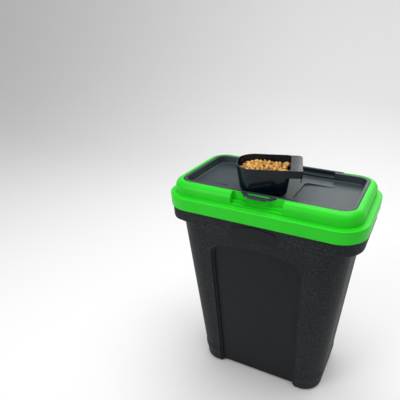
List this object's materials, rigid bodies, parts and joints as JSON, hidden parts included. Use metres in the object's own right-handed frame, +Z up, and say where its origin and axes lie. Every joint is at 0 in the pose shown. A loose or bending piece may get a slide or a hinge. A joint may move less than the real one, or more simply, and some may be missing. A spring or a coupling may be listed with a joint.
{
  "type": "pet food bin",
  "caption": "Tall tapered storage tub on feet with a lift-off lid frame, a hinged tray-shaped flap with a latch loop, and a measuring scoop resting on the flap.",
  "frame": {"origin": "centre of the footprint at floor level", "axes": "+Z up, +X along the long side, -Y towards the latch side, +Y towards the hinge side"},
  "size_m": [0.494, 0.28, 0.6533],
  "materials": {
    "tub_plastic": "black, fine grained texture, satin",
    "frame_plastic": "bright green, smooth satin",
    "flap_plastic": "charcoal, smooth satin",
    "seal_rubber": "matt black",
    "pin_plastic": "charcoal, smooth",
    "scoop_plastic": "near-black blue, glossy"
  },
  "bodies": {
    "bin": {"bin_body": "tub_plastic", "rim_seal": "seal_rubber"},
    "lid": {"lid_frame": "frame_plastic", "hinge_pin_left": "pin_plastic", "hinge_pin_right": "pin_plastic"},
    "flap_assembly": {"flap": "flap_plastic", "flap_seal": "seal_rubber"},
    "scoop_body": {"scoop": "scoop_plastic"}
  },
  "joints": [
    {"name": "frame_lift", "type": "slide", "parent": "bin", "child": "lid", "axis": [0, 0, 1], "range_m": [0, 0.08]},
    {"name": "flap_hinge", "type": "hinge", "parent": "lid", "child": "flap_assembly", "pos_m": [0, 0.114, 0.596], "axis": [-1, 0, 0], "range_deg": [0, 100]},
    {"name": "scoop_lift", "type": "slide", "parent": "flap_assembly", "child": "scoop_body", "axis": [0, 0, 1], "range_m": [0, 0.12]}
  ]
}
